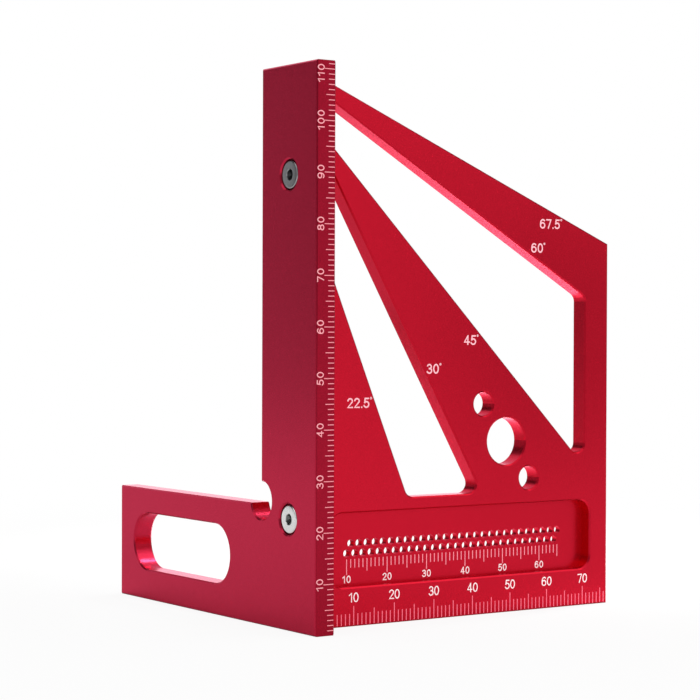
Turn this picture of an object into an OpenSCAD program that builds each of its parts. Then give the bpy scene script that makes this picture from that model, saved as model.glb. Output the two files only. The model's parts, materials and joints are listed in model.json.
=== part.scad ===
// Mitre set square for woodwork: an L-shaped fence, an angle plate with a scribing scale
// that stands square to it, and two socket-head screws that hold them together.
// X runs along the angle plate, Y through its thickness and Z up. The origin is the zero of
// both scales: the fence's inner face, the middle of the plate and the foot.

/* [Fence] */
// Thickness of the fence, along X
fence_thick = 4.5; // [4.2:0.1:7]
// Width of the upright bar, along Y
bar_width = 20; // [16:0.5:30]
// Height of the upright bar
fence_height = 111.7; // [111:0.1:130]
// Length of the fence at its foot, from the scale face to the end of the leg
leg_length = 79.4; // [76:0.2:110]
// Height of the leg
leg_height = 24.4; // [22:0.1:32]
// Radius of the relief notch in the inner corner
notch_radius = 3.85; // [3:0.05:5]
// Height of the middle of the notch above the leg
notch_rise = 0.7; // [0.2:0.05:1.5]
// Small chamfer on every edge
edge_break = 0.3; // [0.1:0.05:0.5]

/* [Slot in the leg] */
// Length of the slot, end to end
slot_length = 41; // [30:0.5:44]
// Width of the slot
slot_width = 12.4; // [8:0.2:13]
// Height of the middle of the slot
slot_height = 12.8; // [11:0.1:13]
// Metal left between the slot and the end of the leg
slot_margin = 6.1; // [4:0.1:8]

/* [Angle plate] */
// Width of the plate, out from the fence
plate_width = 77; // [74:0.5:100]
// Thickness of the plate
plate_thick = 4; // [3.8:0.1:6]
// Height at which the 67.5 degree edge meets the fence
edge_67_height = 110.2; // [109.5:0.1:110.8]
// Height at which the 60 degree edge meets the fence
edge_60_height = 107.5; // [106:0.1:108.5]
// Height at which the 45 degree edge meets the fence
edge_45_height = 100.7; // [99.7:0.1:101.5]
// Height at which the 30 degree edge meets the fence
edge_30_height = 98.7; // [97:0.1:99.2]
// Height at which the 22.5 degree edge meets the fence
edge_22_height = 81.75; // [78:0.25:83]
// Width of the rail that joins the blades beside the fence
rail_width = 3.2; // [3:0.1:3.6]
// Metal left between the upper window and the plate's free edge
window_margin = 6.6; // [5:0.1:10]
// Height of the flat edge at the bottom of the lower window
window_floor = 25.4; // [25:0.1:30]
// Radius in the open corners of both windows
window_corner = 2; // [1.5:0.1:2.5]
// Radius in the narrow corners of both windows, beside the rail
rail_corner = 1; // [0.6:0.1:1.1]

/* [Scribing recess] */
// Distance from the fence to the recess
recess_start = 4.3; // [4.2:0.1:6]
// Metal left between the recess and the plate's free edge
recess_margin = 5; // [3:0.1:8]
// Height of the recess above the foot
recess_foot = 7.9; // [7:0.1:9]
// Height of the recess itself
recess_height = 14.9; // [12:0.1:16]
// Depth of the recess
recess_depth = 2.6; // [1:0.1:2.8]
// Radius in the corners of the recess
recess_corner = 3; // [2:0.1:4]
// Diameter of a scribing hole
scribe_bore = 1.6; // [0.8:0.05:1.7]
// Pitch of the holes along a row, and of the two rows
scribe_pitch = 2; // [1.9:0.05:2.1]
// Distance from the fence to the first hole
scribe_start = 10; // [8:0.5:12]
// Height of the lower row
scribe_height = 14.4; // [12:0.1:16]
// Plain floor left between the last hole and the end of the recess
scribe_tail = 6.5; // [4:0.25:12]

/* [Holes in the wide blade] */
// Diameter of the middle hole
peg_bore = 10; // [6:0.5:11]
// Height of the middle hole
peg_height = 36.1; // [34:0.1:42]
// Diameter of the two small holes
side_bore = 5; // [3:0.25:6]
// Distance from the middle hole to each small one
side_spacing = 10; // [9:0.25:11]

/* [Screws] */
// Height of the upper screw
upper_screw_height = 90; // [88:0.5:92]
// Height of the lower screw
lower_screw_height = 22; // [21.5:0.1:22.5]
// Diameter of the thread
thread_size = 3; // [2.5:0.1:3]
// Length under the head
screw_length = 5; // [4:0.1:5]
// Diameter of the head
head_size = 5.7; // [5:0.1:6]
// Height of the low head
head_height = 2; // [1.8:0.1:2.2]
// Depth at which the head lies below the fence's outer face
head_sunk = 0.2; // [0.1:0.05:0.6]
// Size of the hexagon socket, across flats
socket_size = 2; // [1.8:0.1:2.5]
// Depth of the hexagon socket
socket_depth = 1.3; // [1:0.1:1.5]
// Gap between the head and its counterbore
head_gap = 0.25; // [0.2:0.05:0.6]
// Gap between the screw and its hole in the fence
shank_gap = 0.2; // [0.1:0.05:0.4]
// Running gap between the screw and its threaded hole
thread_gap = 0.05; // [0.02:0.01:0.08]
// Depth of the threaded hole past the screw's end
thread_spare = 0.2; // [0.1:0.05:0.25]

/* [Hidden] */
$fn = 64;

// Every cut runs this far past the face that it opens
overrun = 1;
// Round corners of the windows turn this many degrees from one facet to the next
arc_step = 9;
red = "#B0162B";
steel = "#C6C8CA";

// Each blade edge leans from the upright by its own angle
lean_67 = 67.5;
lean_60 = 60;
lean_45 = 45;
lean_30 = 30;
lean_22 = 22.5;

half_bar = bar_width / 2;
leg_end = leg_length - half_bar;
half_plate = plate_thick / 2;
window_end = plate_width - window_margin;

// Height of a leaning edge at a distance out from the fence
function edge_at(height, lean, x) = height - x / tan(lean);
// Distance out from the fence of a leaning edge at a height
function reach_at(height, lean, z) = (height - z) * tan(lean);

plate_outline = [
    [0, 0],
    [plate_width, 0],
    [plate_width, edge_at(edge_67_height, lean_67, plate_width)],
    [0, edge_67_height]
];

// Both windows start and end with their corners beside the rail
window_corners = [rail_corner, window_corner, window_corner, rail_corner];
upper_window = [
    [rail_width, edge_at(edge_45_height, lean_45, rail_width)],
    [window_end, edge_at(edge_45_height, lean_45, window_end)],
    [window_end, edge_at(edge_60_height, lean_60, window_end)],
    [rail_width, edge_at(edge_60_height, lean_60, rail_width)]
];

lower_window = [
    [rail_width, edge_at(edge_22_height, lean_22, rail_width)],
    [reach_at(edge_22_height, lean_22, window_floor), window_floor],
    [reach_at(edge_30_height, lean_30, window_floor), window_floor],
    [rail_width, edge_at(edge_30_height, lean_30, rail_width)]
];

recess_end = plate_width - recess_margin;
recess_top = recess_foot + recess_height;
recess_corners = [recess_corner, recess_corner, recess_corner, recess_corner];
recess_outline = [
    [recess_start, recess_foot],
    [recess_end, recess_foot],
    [recess_end, recess_top],
    [recess_start, recess_top]
];

// Holes in each row, as many as the recess has room for
scribe_count = floor((recess_end - scribe_tail - scribe_start) / scribe_pitch + 1 / 2);

slot_end = leg_end - slot_margin - slot_width / 2;
slot_start = slot_end + slot_width - slot_length;

// The three holes lie on the middle line of the blade between the 30 and 45 degree edges,
// which starts where those two edges would meet
apex_x = (edge_30_height - edge_45_height) / (1 / tan(lean_30) - 1 / tan(lean_45));
apex_z = edge_at(edge_45_height, lean_45, apex_x);
blade_lean = (lean_30 + lean_45) / 2;
peg_x = apex_x + (apex_z - peg_height) * tan(blade_lean);
side_step = [side_spacing * sin(blade_lean), -side_spacing * cos(blade_lean)];

head_floor = -fence_thick + head_sunk + head_height;
screw_tip = head_floor + screw_length;
thread_end = screw_tip + thread_spare;

// Unit vector from one point to another
function unit(a, b) = (b - a) / norm(b - a);
// Unit normal of the side from a to b, to the left of the way from a to b
function inward(a, b) = [-unit(a, b)[1], unit(a, b)[0]];
// Direction of the side from a to b
function heading(a, b) = atan2(b[1] - a[1], b[0] - a[0]);
// Middle of the round corner that a radius puts between the sides a-b and b-c
function corner_middle(a, b, c, radius) =
    let (first = inward(a, b), second = inward(b, c))
    b + radius * (first + second) / (1 + first * second);
// Points of that corner's arc, grown outwards
function corner_arc(a, b, c, radius, grow) =
    let (
        start = heading(a, b) - 90,
        sweep = (heading(b, c) - heading(a, b) + 360) % 360,
        steps = ceil(sweep / arc_step))
    [for (k = [0 : steps])
        let (at = start + sweep * k / steps)
        corner_middle(a, b, c, radius) + (radius + grow) * [cos(at), sin(at)]];
// A convex outline that runs anticlockwise, with its corners rounded and grown outwards
function rounded(outline, radii, grow) =
    let (n = len(outline))
    [for (i = [0 : n - 1])
        each corner_arc(outline[(i + n - 1) % n], outline[i], outline[(i + 1) % n], radii[i], grow)];
// A convex outline with sharp corners, drawn in by a distance
function drawn_in(outline, distance) =
    let (n = len(outline))
    [for (i = [0 : n - 1])
        corner_middle(outline[(i + n - 1) % n], outline[i], outline[(i + 1) % n], distance)];

// A solid through a stack of levels, lowest first: each is [height, outline], all with as many points
module loft(levels) {
    n = len(levels[0][1]);
    last = len(levels) - 1;
    polyhedron(
        points = [for (level = levels, point = level[1]) [point[0], point[1], level[0]]],
        faces = concat(
            [[for (i = [0 : n - 1]) i]],
            [for (k = [0 : last - 1], i = [0 : n - 1])
                [k * n + i, (k + 1) * n + i, (k + 1) * n + (i + 1) % n, k * n + (i + 1) % n]],
            [[for (i = [n - 1 : -1 : 0]) last * n + i]]));
}

// Cuts a rounded opening through a sheet between two heights, with both rims chamfered
module opening(outline, radii, low, high) {
    wall = rounded(outline, radii, 0);
    mouth = rounded(outline, radii, edge_break + overrun);
    loft([
        [low - overrun, mouth],
        [low + edge_break, wall],
        [high - edge_break, wall],
        [high + overrun, mouth]
    ]);
}

// Cuts a rounded recess down to a floor, with its rim chamfered
module recess(outline, radii, floor_height, high) {
    wall = rounded(outline, radii, 0);
    loft([
        [floor_height, wall],
        [high - edge_break, wall],
        [high + overrun, rounded(outline, radii, edge_break + overrun)]
    ]);
}

// A cone that widens upward at 45 degrees from a radius at one edge break below z = 0
module flare(radius) {
    translate([0, 0, -edge_break])
        cylinder(h = edge_break + overrun, r1 = radius, r2 = radius + edge_break + overrun);
}

// A straight groove along the line from a to b that breaks the edge there, on the face at z = 0
module straight_break(a, b, extra) {
    along = b - a;
    translate([a[0], a[1], 0])
        rotate([0, 0, atan2(along[1], along[0])])
            translate([-extra, 0, 0])
                rotate([45, 0, 0])
                    translate([0, -edge_break / sqrt(2), -edge_break / sqrt(2)])
                        cube([norm(along) + 2 * extra, edge_break * sqrt(2), edge_break * sqrt(2)]);
}

// A drilled hole through a sheet between two heights, with both rims chamfered
module drilled(bore, low, high) {
    translate([0, 0, low - overrun])
        cylinder(h = high - low + 2 * overrun, d = bore);
    translate([0, 0, high])
        flare(bore / 2);
    translate([0, 0, low])
        mirror([0, 0, 1])
            flare(bore / 2);
}

// The fence's side view: the upright bar and the leg
module fence_outline() {
    translate([-half_bar, 0])
        square([bar_width, fence_height]);
    translate([-half_bar, 0])
        square([leg_length, leg_height]);
}

fence_corners = [
    [-half_bar, 0],
    [leg_end, 0],
    [leg_end, leg_height],
    [half_bar, leg_height],
    [half_bar, fence_height],
    [-half_bar, fence_height]
];
notch_middle = [half_bar, leg_height + notch_rise];

// Chamfers one broad face of the fence, with that face at z = 0
module fence_face_break() {
    n = len(fence_corners);
    for (i = [0 : n - 1])
        straight_break(fence_corners[i], fence_corners[(i + 1) % n], i == 2 || i == 3 ? 0 : overrun);
    translate(notch_middle)
        flare(notch_radius);
    for (end = [slot_start, slot_end])
        translate([end, slot_height])
            flare(slot_width / 2);
    for (side = [-1, 1])
        straight_break(
            [slot_start, slot_height + side * slot_width / 2],
            [slot_end, slot_height + side * slot_width / 2], 0);
}

// Counterbore and clearance hole of one screw, seen along the screw with the outer face at -fence_thick
module screw_seat() {
    translate([0, 0, -fence_thick - overrun])
        cylinder(h = head_floor + fence_thick + overrun, r = head_size / 2 + head_gap);
    translate([0, 0, head_floor - overrun])
        cylinder(h = overrun - head_floor + overrun, r = thread_size / 2 + shank_gap);
    translate([0, 0, -fence_thick])
        mirror([0, 0, 1])
            flare(head_size / 2 + head_gap);
}

module fence() {
    color(red)
        rotate([90, 0, 90])
            difference() {
                translate([0, 0, -fence_thick])
                    linear_extrude(fence_thick)
                        fence_outline();
                translate([0, 0, -fence_thick - overrun])
                    linear_extrude(fence_thick + 2 * overrun) {
                        translate(notch_middle)
                            circle(notch_radius);
                        for (end = [slot_start, slot_end])
                            translate([end, slot_height])
                                circle(d = slot_width);
                        translate([slot_start, slot_height - slot_width / 2])
                            square([slot_end - slot_start, slot_width]);
                    }
                fence_face_break();
                translate([0, 0, -fence_thick])
                    mirror([0, 0, 1])
                        fence_face_break();
                for (height = [upper_screw_height, lower_screw_height])
                    translate([0, height, 0])
                        screw_seat();
            }
}

// The two staggered rows of holes through the floor of the recess
module scribing_holes() {
    for (row = [0, 1], i = [0 : scribe_count - 1])
        translate([
            scribe_start + (i + row / 2) * scribe_pitch,
            scribe_height + row * scribe_pitch,
            -half_plate - overrun
        ])
            cylinder(h = plate_thick + 2 * overrun, d = scribe_bore, $fn = 24);
}

module angle_plate() {
    color(red)
        rotate([90, 0, 0])
            difference() {
                loft([
                    [-half_plate, drawn_in(plate_outline, edge_break)],
                    [edge_break - half_plate, plate_outline],
                    [half_plate - edge_break, plate_outline],
                    [half_plate, drawn_in(plate_outline, edge_break)]
                ]);
                opening(upper_window, window_corners, -half_plate, half_plate);
                opening(lower_window, window_corners, -half_plate, half_plate);
                recess(recess_outline, recess_corners, half_plate - recess_depth, half_plate);
                translate([peg_x, peg_height, 0])
                    drilled(peg_bore, -half_plate, half_plate);
                for (side = [-1, 1])
                    translate([peg_x, peg_height, 0] + side * [side_step[0], side_step[1], 0])
                        drilled(side_bore, -half_plate, half_plate);
                scribing_holes();
                for (height = [upper_screw_height, lower_screw_height])
                    translate([-overrun, height, 0])
                        rotate([0, 90, 0])
                            cylinder(h = thread_end + overrun, r = thread_size / 2 + thread_gap);
            }
}

// Socket-head cap screw with its axis along X, at a height on the bar's middle line
module screw(height) {
    color(steel)
        translate([0, 0, height])
            rotate([0, 90, 0])
                difference() {
                    union() {
                        translate([0, 0, head_floor - head_height + edge_break])
                            cylinder(h = head_height - edge_break, d = head_size);
                        translate([0, 0, head_floor - head_height])
                            cylinder(h = edge_break, d1 = head_size - 2 * edge_break, d2 = head_size);
                        translate([0, 0, head_floor])
                            cylinder(h = screw_length - edge_break, d = thread_size);
                        translate([0, 0, screw_tip - edge_break])
                            cylinder(h = edge_break, d1 = thread_size, d2 = thread_size - 2 * edge_break);
                    }
                    translate([0, 0, head_floor - head_height - overrun])
                        cylinder(h = socket_depth + overrun, d = socket_size / cos(30), $fn = 6);
                }
}

module upper_screw() {
    screw(upper_screw_height);
}

module lower_screw() {
    screw(lower_screw_height);
}

fence();
angle_plate();
upper_screw();
lower_screw();
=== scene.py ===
"""Looks of a red anodised mitre set square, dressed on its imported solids.

The fence stands on the left, the angle plate runs out to the right, and two socket-head screws
join them. The scene is in metres. So are the sizes of the studio, but those of the square and of its
finishes are in millimetres.
"""

import json
import logging
import math
from dataclasses import dataclass
from enum import Enum
from typing import Any, Callable, Mapping, Sequence

import bmesh
import bpy
from mathutils import Matrix, Vector

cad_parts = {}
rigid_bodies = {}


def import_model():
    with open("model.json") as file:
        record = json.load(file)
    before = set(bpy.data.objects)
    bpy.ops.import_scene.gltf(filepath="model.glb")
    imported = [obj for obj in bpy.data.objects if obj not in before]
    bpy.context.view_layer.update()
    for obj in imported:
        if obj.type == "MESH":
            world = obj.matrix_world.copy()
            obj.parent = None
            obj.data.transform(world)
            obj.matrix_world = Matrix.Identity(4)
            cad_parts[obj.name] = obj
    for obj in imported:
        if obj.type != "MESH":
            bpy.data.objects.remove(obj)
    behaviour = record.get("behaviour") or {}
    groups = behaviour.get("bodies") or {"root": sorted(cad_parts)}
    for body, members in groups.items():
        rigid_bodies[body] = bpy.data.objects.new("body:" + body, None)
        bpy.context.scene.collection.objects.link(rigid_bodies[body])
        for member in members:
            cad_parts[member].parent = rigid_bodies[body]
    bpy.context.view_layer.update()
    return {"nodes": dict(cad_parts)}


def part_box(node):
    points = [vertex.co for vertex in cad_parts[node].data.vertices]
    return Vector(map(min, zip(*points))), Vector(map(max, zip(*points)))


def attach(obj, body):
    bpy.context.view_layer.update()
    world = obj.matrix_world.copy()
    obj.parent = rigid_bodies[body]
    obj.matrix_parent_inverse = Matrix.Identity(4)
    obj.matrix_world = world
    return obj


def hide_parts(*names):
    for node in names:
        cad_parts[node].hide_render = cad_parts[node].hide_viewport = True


LOG = logging.getLogger("set_square")
MM = 0.001
WHITE = (1.0, 1.0, 1.0)
NUMBER_STEP = 10

Colour = tuple[float, float, float]
Point = tuple[float, float, float]
Spot = tuple[float, float]
RadiusRule = Callable[[float], float]
Socket = bpy.types.NodeSocket


def linear(code: str) -> Colour:
    """Turns a screen colour into the linear one that shaders use.

    Args:
        code: The colour as "#RRGGBB".

    Returns:
        Linear red, green and blue, from 0 to 1.
    """
    parts = [int(code[i : i + 2], 16) / 255 for i in (1, 3, 5)]
    red, green, blue = (p / 12.92 if p <= 0.04045 else ((p + 0.055) / 1.055) ** 2.4 for p in parts)
    return red, green, blue


class Shade:
    """A number that varies over a surface: a socket that takes part in arithmetic."""

    def __init__(self, tree: "Tree", socket: Socket) -> None:
        """Wraps an output socket of a node in the tree."""
        self.tree = tree
        self.socket = socket

    def _math(self, operation: str, first: "Shade | float", second: "Shade | float") -> "Shade":
        """Adds a Math node.

        Args:
            operation: The node's operation.
            first: Left value.
            second: Right value.

        Returns:
            The node's result.
        """
        node = self.tree.node("ShaderNodeMath", {"operation": operation}, {0: first, 1: second})
        return Shade(self.tree, node.outputs[0])

    def __add__(self, other: "Shade | float") -> "Shade":
        """self + other."""
        return self._math("ADD", self, other)

    def __radd__(self, other: "Shade | float") -> "Shade":
        """other + self."""
        return self._math("ADD", other, self)

    def __sub__(self, other: "Shade | float") -> "Shade":
        """self - other."""
        return self._math("SUBTRACT", self, other)

    def __rsub__(self, other: "Shade | float") -> "Shade":
        """other - self."""
        return self._math("SUBTRACT", other, self)

    def __mul__(self, other: "Shade | float") -> "Shade":
        """self * other."""
        return self._math("MULTIPLY", self, other)

    def __rmul__(self, other: "Shade | float") -> "Shade":
        """other * self."""
        return self._math("MULTIPLY", other, self)

    def __truediv__(self, other: "Shade | float") -> "Shade":
        """self / other."""
        return self._math("DIVIDE", self, other)

    def __rtruediv__(self, other: "Shade | float") -> "Shade":
        """other / self."""
        return self._math("DIVIDE", other, self)


class Tree:
    """The nodes of one material or of the world."""

    def __init__(self, owner: bpy.types.Material | bpy.types.World) -> None:
        """Empties a node tree, ready for new nodes.

        Args:
            owner: The material or the world that the tree belongs to.
        """
        owner.use_nodes = True
        self.nodes = owner.node_tree.nodes
        self.links = owner.node_tree.links
        self.nodes.clear()

    def node(
        self,
        kind: str,
        settings: Mapping[str, Any] | None = None,
        inputs: Mapping[str | int, Any] | None = None,
    ) -> bpy.types.Node:
        """Adds one node.

        Args:
            kind: The node's type.
            settings: Its settings, which are set first.
            inputs: A value, a socket or a Shade for each input, by name or by number.

        Returns:
            The new node.
        """
        made = self.nodes.new(kind)
        for name, value in (settings or {}).items():
            setattr(made, name, value)
        for name, value in (inputs or {}).items():
            entry = made.inputs[name]
            if isinstance(value, Shade):
                self.links.new(value.socket, entry)
            elif isinstance(value, Socket):
                self.links.new(value, entry)
            elif entry.type == "RGBA":
                entry.default_value = (*value, 1)
            else:
                entry.default_value = value
        return made

    def place(self) -> Socket:
        """Returns the coordinates of the surface point in the object's own frame."""
        return self.node("ShaderNodeTexCoord").outputs["Object"]

    def noise(self, grain: float, detail: float = 2.0) -> Shade:
        """Adds soft random variation.

        Args:
            grain: Size of the variation, in millimetres.
            detail: How many finer layers lie on it.

        Returns:
            A number about 0.5.
        """
        sockets = {"Vector": self.place(), "Scale": 1 / (grain * MM), "Detail": detail}
        return Shade(self, self.node("ShaderNodeTexNoise", None, sockets).outputs["Fac"])

    def fade(self, value: Shade | Socket, start: float, end: float) -> Shade:
        """Rises smoothly from 0 to 1 as a value goes from one number to another.

        Args:
            value: What it follows.
            start: Where it leaves 0.
            end: Where it reaches 1, which may be below start.

        Returns:
            The number from 0 to 1.
        """
        sockets = {0: value, 1: start, 2: end}
        made = self.node("ShaderNodeMapRange", {"interpolation_type": "SMOOTHSTEP"}, sockets)
        return Shade(self, made.outputs[0])

    def vector(
        self, operation: str, first: Socket | Point, second: Socket | Point | None = None
    ) -> bpy.types.Node:
        """Adds a Vector Math node.

        Args:
            operation: The node's operation.
            first: Left value.
            second: Right value, where the operation has one.

        Returns:
            The node.
        """
        sockets = {0: first} if second is None else {0: first, 1: second}
        return self.node("ShaderNodeVectorMath", {"operation": operation}, sockets)

    def blend(self, amount: Shade, first: Socket | Colour, second: Socket | Colour) -> Socket:
        """Mixes two colours. Counted from 0, they are the node's inputs 6 and 7, and output 2.

        Args:
            amount: 0 for the first colour, 1 for the second.
            first: The first colour.
            second: The second colour.

        Returns:
            The mixed colour.
        """
        sockets = {"Factor": amount, 6: first, 7: second}
        return self.node("ShaderNodeMix", {"data_type": "RGBA"}, sockets).outputs[2]

    def bump(self, height: Shade, strength: float, depth: float = 0.02) -> Socket:
        """Turns a height into the direction that a bumpy surface faces.

        Args:
            height: The height, from 0 to 1.
            strength: How much of it shows.
            depth: What a height of 1 stands for, in millimetres.

        Returns:
            The direction, for a shader's normal.
        """
        sockets = {"Strength": strength, "Distance": depth * MM, "Height": height}
        return self.node("ShaderNodeBump", None, sockets).outputs[0]

    def rays(self, *kinds: str) -> Shade:
        """Tells whether the ray that arrives is of one of some kinds.

        Args:
            kinds: The kinds, as the Light Path node names them.

        Returns:
            1 for a ray of these kinds, 0 for any other.
        """
        path = self.node("ShaderNodeLightPath")
        first, *rest = (Shade(self, path.outputs[f"Is {kind} Ray"]) for kind in kinds)
        return sum(rest, first)

    def surface(self, kind: str, inputs: Mapping[str | int, Any]) -> None:
        """Makes one shader the material's surface.

        Args:
            kind: The shader's node type.
            inputs: Its inputs, as for any node.
        """
        shader = self.node(kind, None, inputs)
        self.node("ShaderNodeOutputMaterial", None, {"Surface": shader.outputs[0]})


@dataclass(frozen=True)
class Anodised:
    """Bead-blasted aluminium under a dyed anodic film, with a satin sheen.

    The film hides part of the metal, so the finish is not wholly metallic. The front edge may have
    a shade of its own, which takes over as Y goes from one end of the fade to the other.
    """

    name: str
    colour: str
    worn: str
    front_shade: str | None = None
    front_fade: Spot = (-9.8, -9.95)
    metallic: float = 0.92
    tint: Colour = (1.0, 0.66, 0.8)
    roughness: float = 0.27
    roughness_spread: float = 0.03
    grain: float = 0.12
    grain_detail: float = 3.0
    grain_share: float = 0.04
    cloud: float = 14.0
    cloud_share: float = 0.5
    bump: float = 0.012

    def build(self) -> bpy.types.Material:
        """Makes the finish.

        Returns:
            The material.
        """
        made = bpy.data.materials.new(self.name)
        tree = Tree(made)
        cloud = tree.noise(self.cloud)
        speckle = tree.noise(self.grain, self.grain_detail)
        wear = cloud * self.cloud_share + speckle * self.grain_share
        colour = tree.blend(wear, linear(self.colour), linear(self.worn))
        if self.front_shade:
            depth = tree.node("ShaderNodeSeparateXYZ", None, {0: tree.place()}).outputs["Y"]
            start, end = self.front_fade
            front = tree.fade(depth, start * MM, end * MM)
            colour = tree.blend(front, colour, linear(self.front_shade))
        tree.surface(
            "ShaderNodeBsdfPrincipled",
            {
                "Base Color": colour,
                "Metallic": self.metallic,
                "Specular Tint": self.tint,
                "Roughness": self.roughness + (speckle - 0.5) * self.roughness_spread,
                "Normal": tree.bump(speckle, self.bump),
            },
        )
        return made


@dataclass(frozen=True)
class LaserMark:
    """Graduations burnt through the film: matt, pale and pink."""

    name: str
    colour: str
    faded: str
    fade_share: float = 0.8
    roughness: float = 0.7
    gloss: float = 0.2
    grain: float = 0.25

    def build(self) -> bpy.types.Material:
        """Makes the finish.

        Returns:
            The material.
        """
        made = bpy.data.materials.new(self.name)
        tree = Tree(made)
        fading = tree.noise(self.grain) * self.fade_share
        tree.surface(
            "ShaderNodeBsdfPrincipled",
            {
                "Base Color": tree.blend(fading, linear(self.colour), linear(self.faded)),
                "Roughness": self.roughness,
                "Specular IOR Level": self.gloss,
            },
        )
        return made


@dataclass(frozen=True)
class Marks:
    """The finishes of all the scales, from deep pink ticks to almost white numbers."""

    bar_ticks: bpy.types.Material
    bar_numbers: bpy.types.Material
    foot_ticks: bpy.types.Material
    recess_ticks: bpy.types.Material
    numbers: bpy.types.Material
    angles: bpy.types.Material


@dataclass(frozen=True)
class TurnedSteel:
    """Bright steel with the fine rings that turning leaves round the screw's axis.

    The broached socket is painted darker, as painted shade in its hollow. This colour takes over as the
    distance from the axis goes from one end of the fade to the other.
    """

    name: str
    colour: str
    dull: str
    # socket: the colour of the painted shade inside the hex socket.
    socket: str
    socket_fade: Spot = (1.17, 1.08)
    roughness: float = 0.2
    roughness_spread: float = 0.2
    ring: float = 0.12
    bump: float = 0.12
    smudge: float = 1.2

    def build(self, middle: Vector) -> bpy.types.Material:
        """Makes the finish for one screw.

        Args:
            middle: A point on the screw's axis, which runs along X.

        Returns:
            The material.
        """
        made = bpy.data.materials.new(self.name)
        tree = Tree(made)
        off_axis = tree.vector("SUBTRACT", tree.place(), (0.0, middle.y, middle.z)).outputs[0]
        flat = tree.vector("MULTIPLY", off_axis, (0.0, 1.0, 1.0)).outputs[0]
        away = Shade(tree, tree.vector("LENGTH", flat).outputs["Value"])
        rings = tree.node(
            "ShaderNodeTexNoise",
            {"noise_dimensions": "1D"},
            {"W": away / (self.ring * MM), "Scale": 1.0, "Detail": 2.0},
        )
        groove = Shade(tree, rings.outputs["Fac"])
        face = tree.blend(tree.noise(self.smudge), linear(self.colour), linear(self.dull))
        start, end = self.socket_fade
        # Painted shade: the hollow of the socket takes the darker socket colour.
        painted_socket_shade = tree.fade(away, start * MM, end * MM)
        tree.surface(
            "ShaderNodeBsdfPrincipled",
            {
                "Base Color": tree.blend(painted_socket_shade, face, linear(self.socket)),
                "Metallic": 1.0,
                "Roughness": self.roughness + (groove - 0.5) * self.roughness_spread,
                "Normal": tree.bump(groove, self.bump),
            },
        )
        return made


@dataclass(frozen=True)
class StudioPaper:
    """Plain pale paper under the square.

    Near the square, the camera sees it almost white, with a soft shadow, and the metal mirrors the
    paper itself. Both see plain white further out. The shadow's reach is in metres.
    """

    name: str
    colour: str
    lift: float = 0.9
    shadow_reach: Spot = (0.1, 0.34)

    def build(self) -> bpy.types.Material:
        """Makes the finish.

        Returns:
            The material.
        """
        made = bpy.data.materials.new(self.name)
        tree = Tree(made)
        seen = tree.rays("Camera", "Glossy", "Transmission")
        near = tree.rays("Camera") * self.lift
        away = tree.vector("LENGTH", tree.place()).outputs["Value"]
        white_share = near + (seen - near) * tree.fade(away, *self.shadow_reach)
        paper = tree.node("ShaderNodeBsdfDiffuse", None, {"Color": linear(self.colour)})
        white = tree.node("ShaderNodeEmission", None, {"Color": WHITE, "Strength": 1.0})
        tree.surface("ShaderNodeMixShader", {0: white_share, 1: paper.outputs[0], 2: white.outputs[0]})
        return made


@dataclass(frozen=True)
class StudioCard:
    """Matt card that stands beside the square and shows only in its reflections."""

    name: str
    colour: str

    def build(self) -> bpy.types.Material:
        """Makes the finish.

        Returns:
            The material.
        """
        made = bpy.data.materials.new(self.name)
        Tree(made).surface("ShaderNodeBsdfDiffuse", {"Color": linear(self.colour)})
        return made


def mesh_from(made: bmesh.types.BMesh, name: str) -> bpy.types.Mesh:
    """Turns an edit mesh into a mesh, and frees it.

    Args:
        made: The edit mesh.
        name: The mesh's name.

    Returns:
        The mesh.
    """
    mesh = bpy.data.meshes.new(name)
    made.to_mesh(mesh)
    made.free()
    return mesh


def add_object(name: str, mesh: bpy.types.Mesh, material: bpy.types.Material) -> bpy.types.Object:
    """Puts a mesh in the scene.

    Args:
        name: The piece's name.
        mesh: Its mesh, in metres, in the row frame.
        material: Its only material.

    Returns:
        The new object.
    """
    mesh.materials.append(material)
    made = bpy.data.objects.new(name, mesh)
    bpy.context.scene.collection.objects.link(made)
    return made


def dress(node: bpy.types.Object, material: bpy.types.Material) -> None:
    """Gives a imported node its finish.

    Args:
        node: The node, whose mesh stays as it is.
        material: The finish.
    """
    if not node.material_slots:
        node.data.materials.append(material)
    for held in node.material_slots:
        held.material = material
    LOG.info("%s keeps its packed shape: %d faces", node.name, len(node.data.polygons))


def report(piece: bpy.types.Object, body: str) -> None:
    """Rides a finished piece on its body and logs it.

    Args:
        piece: The new piece.
        body: The CAD body that it moves with.
    """
    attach(piece, body)
    LOG.info("%s rides on %s: %d faces", piece.name, body, len(piece.data.polygons))


@dataclass(frozen=True)
class Stroke:
    """The middle line of one stroke of a figure, in a figure that is one unit high."""

    points: tuple[Spot, ...]
    closed: bool = False


@dataclass(frozen=True)
class Figure:
    """One figure, one unit high: its width and its strokes."""

    width: float
    strokes: tuple[Stroke, ...]


def bow(middle: Spot, reach: Spot, start: float, end: float, step: float = 12.0) -> tuple[Spot, ...]:
    """Samples part of an ellipse.

    Args:
        middle: Its middle.
        reach: Its half width and half height.
        start: Angle of the first point, in degrees.
        end: Angle of the last point.
        step: Angle from each point to the next, more or less.

    Returns:
        The points.
    """
    steps = max(2, round(abs(end - start) / step))
    turns = (math.radians(start + (end - start) * k / steps) for k in range(steps + 1))
    return tuple((middle[0] + reach[0] * math.cos(t), middle[1] + reach[1] * math.sin(t)) for t in turns)


def ring(middle: Spot, reach: Spot) -> Stroke:
    """Returns a whole ellipse as one closed stroke."""
    return Stroke(bow(middle, reach, 0, 360)[:-1], True)


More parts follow.
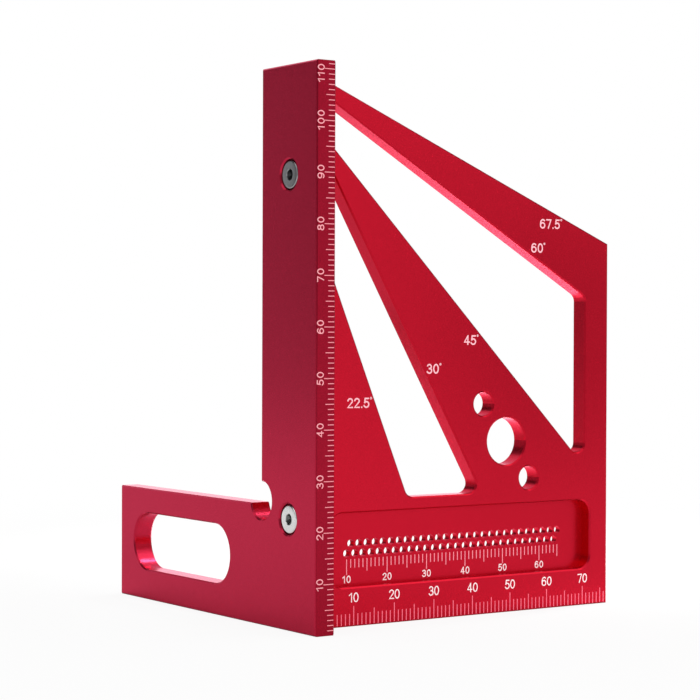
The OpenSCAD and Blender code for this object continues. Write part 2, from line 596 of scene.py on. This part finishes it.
SIX_STEM = (*bow((0.29, 0.5), (0.29, 0.5), 52, 176), (0.0, 0.31))
SIX_BOWL_REACH = (0.26, 0.31)
SIX_WIDTH = 0.54
FIGURES: Mapping[str, Figure] = {
    "0": Figure(0.52, (ring((0.26, 0.5), (0.26, 0.5)),)),
    "1": Figure(0.34, (Stroke(((0.0, 0.78), (0.26, 1.0), (0.26, 0.0))),)),
    "2": Figure(0.5, (Stroke((*bow((0.25, 0.73), (0.24, 0.27), 168, -28), (0.0, 0.0), (0.5, 0.0))),)),
    "3": Figure(
        0.49,
        (
            Stroke(bow((0.23, 0.755), (0.22, 0.245), 155, -90)),
            Stroke(bow((0.23, 0.27), (0.26, 0.27), 90, -155)),
        ),
    ),
    "4": Figure(0.56, (Stroke(((0.4, 1.0), (0.0, 0.27), (0.56, 0.27))), Stroke(((0.4, 1.0), (0.4, 0.0))))),
    "5": Figure(
        0.5,
        (
            Stroke(((0.46, 1.0), (0.1, 1.0), (0.06, 0.53))),
            Stroke(bow((0.23, 0.32), (0.27, 0.32), 132, -152)),
        ),
    ),
    "6": Figure(SIX_WIDTH, (Stroke(SIX_STEM), ring(SIX_BOWL_REACH, SIX_BOWL_REACH))),
    "7": Figure(0.5, (Stroke(((0.0, 1.0), (0.5, 1.0), (0.18, 0.0))),)),
    "8": Figure(0.52, (ring((0.26, 0.77), (0.22, 0.23)), ring((0.26, 0.27), (0.26, 0.27)))),
    "9": Figure(
        SIX_WIDTH,
        (Stroke(tuple((SIX_WIDTH - x, 1 - z) for x, z in SIX_STEM)), ring((0.28, 0.69), SIX_BOWL_REACH)),
    ),
    ".": Figure(0.06, (Stroke(((0.03, 0.0), (0.03, 0.02))),)),
    "°": Figure(0.1, (ring((0.0, 1.03), (0.05, 0.055)),)),
}


@dataclass(frozen=True)
class Lettering:
    """Form of a scale's figures: height, width of a stroke, times wider than plain, and gap."""

    cap: float
    stroke: float
    width: float
    gap: float


class Reading(Enum):
    """Which way lettering on a front face reads, as its right and up directions."""

    LEVEL = ((1, 0, 0), (0, 0, 1))
    UPWARDS = ((0, 0, 1), (-1, 0, 0))

    def frame(self, at: Vector) -> Matrix:
        """Finds how flat lettering lies on a front face.

        Args:
            at: The middle of the lettering.

        Returns:
            The matrix that carries it there.
        """
        right, up = (Vector(v) for v in self.value)
        turned = Matrix((right, up, right.cross(up))).transposed().to_4x4()
        return Matrix.Translation(at) @ turned


@dataclass
class MarkMaker:
    """Cuts ticks and numbers for the flat front faces, which all look along -Y.

    A mark is a thin solid that starts below its face and ends just proud of it. Strokes of one
    figure cross, so each ends a little higher than the one before. A corner sharper than the limit
    isn't drawn out to its full point.
    """

    proud: float = 0.006
    lift: float = 0.002
    sunk: float = 0.03
    sharpest: float = 1.5

    def _edges(
        self, line: Sequence[Vector], closed: bool, width: float
    ) -> list[tuple[Vector, Vector]]:
        """Gives a middle line its width.

        Args:
            line: Points of the middle line.
            closed: Whether it runs back to its first point.
            width: Width of the stroke.

        Returns:
            The left and the right edge beside each point. The ends of an open line are squared off
            half a width further out.
        """
        count = len(line)
        edges = []
        for k, point in enumerate(line):
            before = line[k - 1] if closed or k else None
            after = line[(k + 1) % count] if closed or k < count - 1 else None
            into = (after - point if before is None else point - before).normalized()
            out = into if after is None else (after - point).normalized()
            side = Vector((-(into + out).y, (into + out).x)).normalized()
            lean = max(1 / self.sharpest, side.dot(Vector((-into.y, into.x))))
            if before is None:
                point = point - out * width / 2
            elif after is None:
                point = point + into * width / 2
            edges.append((point + side * width / 2 / lean, point - side * width / 2 / lean))
        return edges

    def _ribbon(
        self, line: Sequence[Vector], closed: bool, width: float, proud: float
    ) -> bmesh.types.BMesh:
        """Gives a middle line its width and depth.

        Args:
            line: Points of the middle line.
            closed: Whether it runs back to its first point.
            width: Width of the stroke.
            proud: How far its face stands above z = 0.

        Returns:
            The stroke as a closed mesh round its middle line.
        """
        made = bmesh.new()
        rows = []
        for left, right in self._edges(line, closed, width):
            section = ((left, proud), (right, proud), (right, -self.sunk), (left, -self.sunk))
            rows.append([made.verts.new((spot.x, spot.y, z)) for spot, z in section])
        for here, there in zip(rows, rows[1:] + rows[:1] if closed else rows[1:]):
            for k in range(4):
                after = (k + 1) % 4
                made.faces.new((here[k], there[k], there[after], here[after]))
        if not closed:
            made.faces.new(rows[0])
            made.faces.new(reversed(rows[-1]))
        return made

    def words(self, text: str, style: Lettering, at: Point, reading: Reading) -> list[bmesh.types.BMesh]:
        """Cuts words or a number on a front face.

        Args:
            text: What they say.
            style: Their form.
            at: Their middle on the face, leaving out a degree sign.
            reading: Which way they read.

        Returns:
            The strokes as meshes, in metres.
        """
        tall = style.cap - style.stroke
        wide = tall * style.width
        step = style.gap + style.stroke
        full = sum(FIGURES[c].width * wide + step for c in text.rstrip("°")) - step
        place = reading.frame(Vector(at) * MM) @ Matrix.Scale(MM, 4)
        start = -full / 2
        made = []
        for letter in text:
            figure = FIGURES[letter]
            for k, stroke in enumerate(figure.strokes):
                line = [Vector((start + x * wide, z * tall - tall / 2)) for x, z in stroke.points]
                part = self._ribbon(line, stroke.closed, style.stroke, self.proud + k * self.lift)
                part.transform(place)
                made.append(part)
            start += figure.width * wide + step
        return made

    def tick(self, low: Spot, high: Spot, face: float) -> bmesh.types.BMesh:
        """Makes one tick.

        Args:
            low: Its lowest X and Z.
            high: Its highest X and Z.
            face: The Y of the face that carries it.

        Returns:
            The tick as a mesh, in metres.
        """
        made = bmesh.new()
        bmesh.ops.create_cube(made, size=1.0)
        depth = (self.sunk - self.proud) / 2
        middle = Vector(((low[0] + high[0]) / 2, face + depth, (low[1] + high[1]) / 2))
        size = Vector((high[0] - low[0], self.sunk + self.proud, high[1] - low[1]))
        for vertex in made.verts:
            vertex.co = (middle + Vector(a * b for a, b in zip(vertex.co, size))) * MM
        return made

    def gather(self, name: str, parts: Sequence[bmesh.types.BMesh]) -> bpy.types.Mesh:
        """Joins marks into one mesh and frees them.

        Args:
            name: The mesh's name.
            parts: The marks.

        Returns:
            The joined mesh.
        """
        whole = bmesh.new()
        for part in parts:
            piece = mesh_from(part, "part")
            whole.from_mesh(piece)
            bpy.data.meshes.remove(piece)
        bmesh.ops.recalc_face_normals(whole, faces=whole.faces)
        return mesh_from(whole, name)


@dataclass(frozen=True)
class TickLengths:
    """Lengths of the ticks of a millimetre scale."""

    one: float
    five: float
    ten: float

    def at(self, value: int) -> float:
        """Finds the length of one tick.

        Args:
            value: Its place on the scale, a whole number.

        Returns:
            The length.
        """
        if value % 10 == 0:
            return self.ten
        return self.five if value % 5 == 0 else self.one


@dataclass
class Fence:
    """The upright bar with its leg, and the millimetre scale on its narrow front face.

    The topmost number sits a little lower than its tick, to stay on the bar.
    """

    body: str = "square"
    slot: str = "red_anodised"
    tick_width: float = 0.16
    lengths: TickLengths = TickLengths(1.72, 2.3, 2.62)
    tick_end: float = -0.3
    last_tick: int = 111
    lettering: Lettering = Lettering(1.6, 0.22, 1.3, 0.34)
    number_middle: float = -3.5
    top_number_drop: float = 0.95

    def build(
        self, node: bpy.types.Object, red: bpy.types.Material, marks: Marks, maker: MarkMaker
    ) -> None:
        """Finishes the fence and marks its scale.

        Args:
            node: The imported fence.
            red: Its finish.
            marks: The marks' finishes.
            maker: Cuts the marks.
        """
        dress(node, red)
        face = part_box("fence")[0].y / MM
        half = self.tick_width / 2
        ticks = [
            maker.tick((-self.lengths.at(z), z - half), (self.tick_end, z + half), face)
            for z in range(1, self.last_tick + 1)
        ]
        numbers = []
        for z in range(NUMBER_STEP, self.last_tick + 1, NUMBER_STEP):
            drop = self.top_number_drop if z + NUMBER_STEP > self.last_tick else 0.0
            at = (self.number_middle, face, z - drop)
            numbers += maker.words(str(z), self.lettering, at, Reading.UPWARDS)
        for name, parts, mark in (
            ("bar_ticks", ticks, marks.bar_ticks),
            ("bar_numbers", numbers, marks.bar_numbers),
        ):
            report(add_object(name, maker.gather(name, parts), mark), self.body)


@dataclass
class AnglePlate:
    """The plate with its windows, recess and holes, its two scales and its angle numbers.

    The ticks on the foot stand on its lower edge, and those in the recess hang from a line. Each
    angle number has the X and Z of its middle.
    """

    body: str = "square"
    slot: str = "red_anodised"
    recess_depth: float = 2.6
    tick_width: float = 0.19
    foot_start: float = 0.3
    foot_lengths: TickLengths = TickLengths(2.6, 3.45, 4.1)
    foot_range: tuple[int, int] = (1, 76)
    foot_number_middle: float = 5.82
    foot_lettering: Lettering = Lettering(1.95, 0.24, 1.15, 0.16)
    recess_top: float = 13.2
    recess_lengths: TickLengths = TickLengths(1.75, 2.55, 3.15)
    recess_range: tuple[int, int] = (10, 65)
    recess_number_middle: float = 9.17
    recess_lettering: Lettering = Lettering(1.5, 0.23, 1.2, 0.23)
    angle_lettering: Lettering = Lettering(2.05, 0.3, 1.27, 0.24)
    angles: tuple[tuple[str, float, float], ...] = (
        ("22.5°", 10.95, 44.8),
        ("30°", 29.5, 51.5),
        ("45°", 39.1, 57.4),
        ("60°", 57.0, 77.0),
        ("67.5°", 60.5, 82.2),
    )

    def build(
        self, node: bpy.types.Object, red: bpy.types.Material, marks: Marks, maker: MarkMaker
    ) -> None:
        """Finishes the plate and marks it.

        Args:
            node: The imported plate.
            red: Its finish.
            marks: The marks' finishes.
            maker: Cuts the marks.
        """
        dress(node, red)
        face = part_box("angle_plate")[0].y / MM
        floor = face + self.recess_depth
        half = self.tick_width / 2

        def label(text: str, style: Lettering, at: Point) -> list[bmesh.types.BMesh]:
            """Cuts a level number."""
            return maker.words(text, style, at, Reading.LEVEL)

        first, last = self.foot_range
        foot_ticks = [
            maker.tick((x - half, self.foot_start), (x + half, self.foot_lengths.at(x)), face)
            for x in range(first, last + 1)
        ]
        foot_numbers = []
        for x in range(NUMBER_STEP, last, NUMBER_STEP):
            foot_numbers += label(str(x), self.foot_lettering, (x, face, self.foot_number_middle))
        first, last = self.recess_range
        top = self.recess_top
        recess_ticks = [
            maker.tick((x - half, top - self.recess_lengths.at(x)), (x + half, top), floor)
            for x in range(first, last + 1)
        ]
        recess_numbers = []
        for x in range(NUMBER_STEP, last, NUMBER_STEP):
            recess_numbers += label(str(x), self.recess_lettering, (x, floor, self.recess_number_middle))
        angle_numbers = []
        for text, x, z in self.angles:
            angle_numbers += label(text, self.angle_lettering, (x, face, z))
        for name, parts, mark in (
            ("foot_ticks", foot_ticks, marks.foot_ticks),
            ("foot_numbers", foot_numbers, marks.numbers),
            ("recess_ticks", recess_ticks, marks.recess_ticks),
            ("recess_numbers", recess_numbers, marks.numbers),
            ("angle_numbers", angle_numbers, marks.angles),
        ):
            report(add_object(name, maker.gather(name, parts), mark), self.body)


@dataclass
class SocketScrew:
    """A socket-head screw that lies along X, with its head to the left.

    It is turned from rings round its axis, and a tiny flat closes either end.
    """

    node: str
    slot: str = "screw_steel"
    steps: int = 144
    sharp_angle: float = 20.0
    end_radius: float = 0.02
    head_height: float = 2.0
    face_radius: float = 2.5
    edge_round: float = 0.33
    edge_steps: int = 6
    knurl_depth: float = 0.07
    knurl_count: int = 36
    knurl_sharpness: int = 3
    knurl_start: float = 0.55
    knurl_end: float = 1.85
    knurl_runout: float = 0.08
    under_chamfer: float = 0.12
    socket_size: float = 2.0
    socket_depth: float = 1.3
    socket_chamfer: float = 0.1
    socket_flare: float = 0.025
    drill_point: float = 0.4
    thread_size: float = 3.0
    thread_depth: float = 0.27
    thread_pitch: float = 0.5
    thread_crest: float = 1.15
    rings_per_turn: int = 8
    tip_chamfer: float = 0.35

    def hexagon(self, angle: float) -> float:
        """Returns the radius of the hexagonal socket at an angle."""
        sixth = math.pi / 3
        return self.socket_size / 2 / math.cos((angle + sixth / 2) % sixth - sixth / 2)

    def thread(self, along: float) -> RadiusRule:
        """Makes the rule for one ring of the thread.

        Args:
            along: The ring's distance under the head.

        Returns:
            The thread's radius there, against the angle.
        """

        def radius(angle: float) -> float:
            """Finds the radius of the thread.

            Args:
                angle: Where round the axis.

            Returns:
                The radius.
            """
            turn = (along / self.thread_pitch - angle / math.tau) % 1.0
            crest = 1 - abs(2 * turn - 1)
            return self.thread_size / 2 - self.thread_depth * (1 - min(1.0, crest * self.thread_crest))

        return radius

    def socket_rings(self) -> list[tuple[float, RadiusRule]]:
        """Lists the rings of the socket and the flat face, from the drilled point outwards.

        Returns:
            Each ring's distance from the head's face, and its radius against the angle.
        """
        corner = self.socket_size / 2 / math.cos(math.pi / 6)
        return [
            (self.socket_depth + self.drill_point, lambda a: self.end_radius),
            (self.socket_depth, self.hexagon),
            (self.socket_chamfer, self.hexagon),
            (0.0, lambda a: corner + self.socket_flare),
            (0.0, lambda a: self.face_radius),
        ]

    def head_rings(self, radius: float) -> list[tuple[float, RadiusRule]]:
        """Lists the rings of the head, from its rounded edge to its underside.

        Args:
            radius: Radius of the head.

        Returns:
            Each ring's distance from the head's face, and its radius against the angle.
        """
        rings: list[tuple[float, RadiusRule]] = []
        for k in range(1, self.edge_steps + 1):
            turn = k / self.edge_steps * math.pi / 2
            reach = radius - self.edge_round * (1 - math.sin(turn))
            rings.append((self.edge_round * (1 - math.cos(turn)), lambda a, r=reach: r))

        def knurl(angle: float) -> float:
            """Returns the radius of the knurled side at an angle."""
            wave = abs(math.sin(angle * self.knurl_count / 2))
            return radius - self.knurl_depth * wave**self.knurl_sharpness

        return rings + [
            (self.knurl_start, lambda a: radius),
            (self.knurl_start + self.knurl_runout, knurl),
            (self.knurl_end - self.knurl_runout, knurl),
            (self.knurl_end, lambda a: radius),
            (self.head_height - self.under_chamfer, lambda a: radius),
            (self.head_height, lambda a: radius - self.under_chamfer),
            (self.head_height, lambda a: self.thread_size / 2),
        ]

    def thread_rings(self, length: float) -> list[tuple[float, RadiusRule]]:
        """Lists the rings of the thread and the tip.

        Args:
            length: Length of the whole screw.

        Returns:
            Each ring's distance from the head's face, and its radius against the angle.
        """
        turns = (length - self.head_height - self.tip_chamfer) / self.thread_pitch
        rings: list[tuple[float, RadiusRule]] = []
        for k in range(1, round(turns * self.rings_per_turn) + 1):
            along = k / self.rings_per_turn * self.thread_pitch
            rings.append((self.head_height + along, self.thread(along)))
        return rings + [
            (length, lambda a: self.thread_size / 2 - self.tip_chamfer),
            (length, lambda a: self.end_radius),
        ]

    def turned(self, low: Vector, high: Vector) -> bpy.types.Mesh:
        """Turns the screw's mesh.

        Args:
            low: Lowest corner of the screw's box, in metres.
            high: Its highest corner.

        Returns:
            The closed mesh, in metres.
        """
        middle = (low + high) / 2
        rings = self.socket_rings()
        rings += self.head_rings((high.y - low.y) / 2 / MM)
        rings += self.thread_rings((high.x - low.x) / MM)
        made = bmesh.new()
        loops = []
        for along, radius in rings:
            loop = []
            for k in range(self.steps):
                angle = math.tau * k / self.steps
                reach = radius(angle) * MM
                across = (middle.y + reach * math.cos(angle), middle.z + reach * math.sin(angle))
                loop.append(made.verts.new((low.x + along * MM, *across)))
            loops.append(loop)
        for inner, outer in zip(loops, loops[1:]):
            for k in range(self.steps):
                after = (k + 1) % self.steps
                made.faces.new((inner[k], outer[k], outer[after], inner[after]))
        made.faces.new(loops[0])
        made.faces.new(reversed(loops[-1]))
        bmesh.ops.recalc_face_normals(made, faces=made.faces)
        mesh = mesh_from(made, self.node + "_turned")
        mesh.shade_smooth()
        mesh.set_sharp_from_angle(angle=math.radians(self.sharp_angle))
        return mesh

    def build(self, finish: TurnedSteel) -> None:
        """Builds the screw in its node's place.

        Args:
            finish: The screw's steel.
        """
        low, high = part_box(self.node)
        steel = finish.build((low + high) / 2)
        piece = add_object(self.node + "_turned", self.turned(low, high), steel)
        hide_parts(self.node)
        report(piece, self.node)


@dataclass(frozen=True)
class Card:
    """A card that stands upright, faces the square and shows only in reflections.

    Its place is the middle of its lower edge.
    """

    name: str
    place: Point
    width: float
    height: float
    finish: StudioCard

    def stand(self) -> None:
        """Puts the card on the stage."""
        foot = Vector(self.place)
        away = Vector((foot.x, foot.y, 0.0)).normalized()
        across = away.cross(Vector((0, 0, 1))) * self.width / 2
        top = foot + Vector((0, 0, self.height))
        made = bmesh.new()
        corners = (foot - across, foot + across, top + across, top - across)
        made.faces.new([made.verts.new(corner) for corner in corners])
        piece = add_object(self.name, mesh_from(made, self.name), self.finish.build())
        piece.visible_camera = False
        piece.visible_diffuse = False
        piece.visible_shadow = False


@dataclass(frozen=True)
class Lamp:
    """A soft square lamp that faces its aim. Its beam is an angle in degrees."""

    name: str
    place: Point
    aim: Point
    size: float
    watts: float
    beam: float = 180.0

    def hang(self) -> None:
        """Puts the lamp in the scene."""
        data = bpy.data.lights.new(self.name, "AREA")
        data.shape = "SQUARE"
        data.spread = math.radians(self.beam)
        data.size = self.size
        data.energy = self.watts
        made = bpy.data.objects.new(self.name, data)
        made.location = self.place
        made.rotation_mode = "QUATERNION"
        made.rotation_quaternion = (Vector(self.aim) - Vector(self.place)).to_track_quat("-Z", "Y")
        bpy.context.scene.collection.objects.link(made)


@dataclass(frozen=True)
class Camera:
    """The photograph's viewing angle. It looks along pan and tilt, in degrees, and leans by roll.

    Pan is measured from +X towards +Y. The lens and the sensor are in millimetres.
    """

    place: Point = (-0.225921, -0.346113, 0.059669)
    pan: float = 55.69254
    tilt: float = -0.58343
    roll: float = 0.19147
    lens: float = 107.186
    sensor: float = 36.0
    nearest: float = 0.01
    furthest: float = 20.0

    def aim(self) -> None:
        """Sets the camera up and makes it the scene's."""
        data = bpy.data.cameras.new("camera")
        data.lens = self.lens
        data.sensor_width = self.sensor
        data.clip_start = self.nearest
        data.clip_end = self.furthest
        made = bpy.data.objects.new("camera", data)
        # Before it turns, a camera looks down and its top points along +Y.
        panned = Matrix.Rotation(math.radians(self.pan - 90), 4, "Z")
        tilted = Matrix.Rotation(math.radians(self.tilt + 90), 4, "X")
        rolled = Matrix.Rotation(math.radians(self.roll), 4, "Z")
        made.matrix_world = Matrix.Translation(self.place) @ panned @ tilted @ rolled
        bpy.context.scene.collection.objects.link(made)
        bpy.context.scene.camera = made


@dataclass
class Studio:
    """A pale floor, soft light, cards for the metal to mirror, and the camera."""

    floor_size: float = 6.0
    paper: StudioPaper = StudioPaper("studio_paper", "#E2E2E2")
    world_level: float = 0.95
    view: Camera = Camera()
    cards: tuple[Card, ...] = (
        Card("back_card", (-0.21, 0.647, 0.0), 0.46, 0.25, StudioCard("back_grey", "#BABABC")),
        Card("far_left_card", (-0.536, 0.419, 0.0), 0.36, 0.25, StudioCard("far_left_dark", "#585859")),
        Card("high_back_card", (-0.4, 0.553, 0.25), 0.64, 0.85, StudioCard("back_dark", "#464648")),
        Card("left_card", (-0.56, -0.4, 0.0), 0.75, 0.8, StudioCard("left_dark", "#8E8E90")),
        Card("right_card", (0.72, 0.3, 0.0), 0.5, 0.7, StudioCard("right_dark", "#6A6A6C")),
        Card("front_card", (0.35, -0.606, 0.0), 0.5, 0.5, StudioCard("front_pale", "#E6E6E6")),
        Card("front_strip", (0.36, -0.347, 0.0), 0.1, 0.11, StudioCard("front_grey", "#808082")),
    )
    lamps: tuple[Lamp, ...] = (
        Lamp("key_lamp", (0.65, -0.5, 0.85), (0.1, -0.1, 0.0), 0.5, 0.9),
        Lamp("top_lamp", (0.65, -0.02, 0.95), (0.03, 0.0, 0.05), 0.5, 0.4),
        Lamp("back_lamp", (0.67, 1.0, 0.14), (0.03, 0.0, 0.05), 0.4, 0.5),
        Lamp("floor_lamp", (0.36, 0.12, 0.6), (0.13, 0.1, 0.0), 0.16, 0.25, 14.0),
        Lamp("front_lamp", (0.1, -1.2, 0.25), (0.03, 0.0, 0.05), 0.4, 3.5),
    )

    def floor(self) -> None:
        """Lays the floor."""
        made = bmesh.new()
        bmesh.ops.create_grid(made, x_segments=1, y_segments=1, size=self.floor_size / 2)
        add_object("floor", mesh_from(made, "floor"), self.paper.build())

    def surround(self) -> None:
        """Lights the scene evenly from all round, and shows pure white behind the square."""
        world = bpy.data.worlds.new("surround")
        bpy.context.scene.world = world
        tree = Tree(world)
        seen = tree.rays("Camera", "Glossy", "Transmission")
        level = seen * (1.0 - self.world_level) + self.world_level
        glow = tree.node("ShaderNodeBackground", None, {"Color": WHITE, "Strength": level})
        tree.node("ShaderNodeOutputWorld", None, {"Surface": glow.outputs[0]})

    def build(self) -> None:
        """Sets up the whole studio."""
        self.view.aim()
        self.floor()
        for card in self.cards:
            card.stand()
        self.surround()
        for lamp in self.lamps:
            lamp.hang()


def main() -> None:
    """Builds the dressed set square in its studio."""
    logging.basicConfig(level=logging.INFO, format="%(message)s")
    bpy.context.scene.view_settings.view_transform = "Standard"
    for held in list(bpy.data.objects):
        bpy.data.objects.remove(held)
    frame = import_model()
    nodes = frame["nodes"]
    maker = MarkMaker()
    marks = Marks(
        bar_ticks=LaserMark("bar_tick_mark", "#FAA0AA", "#E6848E").build(),
        bar_numbers=LaserMark("bar_number_mark", "#F8ACB4", "#EC929C").build(),
        foot_ticks=LaserMark("foot_tick_mark", "#FF8298", "#FA6880").build(),
        recess_ticks=LaserMark("recess_tick_mark", "#FFA6B4", "#FC8C9C").build(),
        numbers=LaserMark("number_mark", "#FFF4F5", "#FFE0E5").build(),
        angles=LaserMark("angle_mark", "#FFCCD4", "#F8B0BC").build(),
    )
    fence_red = Anodised("fence_red", "#C52643", "#BC213C", front_shade="#A0142C").build()
    plate_red = Anodised("plate_red", "#D11830", "#C6152B").build()
    Fence().build(nodes["fence"], fence_red, marks, maker)
    AnglePlate().build(nodes["angle_plate"], plate_red, marks, maker)
    # Both screws are the same steel. The upper screw's darker colours are painted shade, and the lower
    # screw's paler colours are painted light. Each socket colour is painted shade in the hollow.
    shaded_steel_copy = TurnedSteel("upper_screw_steel", "#A4A5A6", "#8C8D8E", socket="#8E8F90")
    lit_steel_copy = TurnedSteel("lower_screw_steel", "#EEEEEC", "#D8D9D9", socket="#B4B5B4")
    SocketScrew("upper_screw").build(shaded_steel_copy)
    SocketScrew("lower_screw").build(lit_steel_copy)
    Studio().build()


if __name__ == "__main__":
    main()
